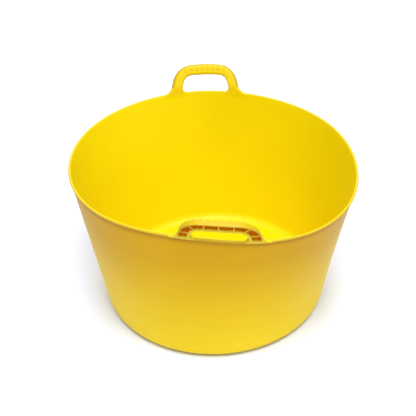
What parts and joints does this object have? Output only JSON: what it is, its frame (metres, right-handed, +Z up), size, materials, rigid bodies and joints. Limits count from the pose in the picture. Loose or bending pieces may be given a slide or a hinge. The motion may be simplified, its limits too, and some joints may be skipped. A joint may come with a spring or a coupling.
{
  "type": "flexible mixing tub",
  "caption": "Shallow round flexible plastic mixing tub with a rolled rim, tapered wall, rounded base corner and springy ribbed loop handles on opposite sides.",
  "frame": {"origin": "centre of the tub's base at ground level", "axes": "+Z up, +Y from the front handle to the rear handle, +X to the right seen from the front handle's side"},
  "size_m": [0.5152, 0.5414, 0.3462],
  "materials": {
    "tub_body": "satin moulded low-density polyethylene, faint turning rings outside",
    "handle": "satin moulded low-density polyethylene"
  },
  "bodies": {
    "tub": {"tub_floor": "tub_body", "base_corner": "tub_body", "side_wall": "tub_body", "rim_bead": "tub_body"},
    "front_handle": {"front_handle_root_left": "handle", "front_handle_root_right": "handle", "front_handle_leg_left": "handle", "front_handle_grip": "handle", "front_handle_leg_right": "handle", "front_handle_rib_1": "handle", "front_handle_rib_2": "handle", "front_handle_rib_3": "handle", "front_handle_rib_4": "handle", "front_handle_rib_5": "handle", "front_handle_rib_6": "handle", "front_handle_rib_7": "handle"},
    "rear_handle": {"rear_handle_root_left": "handle", "rear_handle_root_right": "handle", "rear_handle_leg_left": "handle", "rear_handle_grip": "handle", "rear_handle_leg_right": "handle", "rear_handle_rib_1": "handle", "rear_handle_rib_2": "handle", "rear_handle_rib_3": "handle", "rear_handle_rib_4": "handle", "rear_handle_rib_5": "handle", "rear_handle_rib_6": "handle", "rear_handle_rib_7": "handle"}
  },
  "joints": [
    {"name": "front_handle_flex", "type": "hinge", "parent": "tub", "child": "front_handle", "pos_m": [0.00185, -0.23947, 0.30255], "axis": [-0.9915, 0.1232, 0.0417], "range_deg": [-30, 60], "stiffness_Nm_per_rad": 2.5},
    {"name": "rear_handle_flex", "type": "hinge", "parent": "tub", "child": "rear_handle", "pos_m": [-0.00185, 0.23947, 0.30255], "axis": [0.9915, -0.1232, 0.0417], "range_deg": [-30, 60], "stiffness_Nm_per_rad": 2.5}
  ]
}
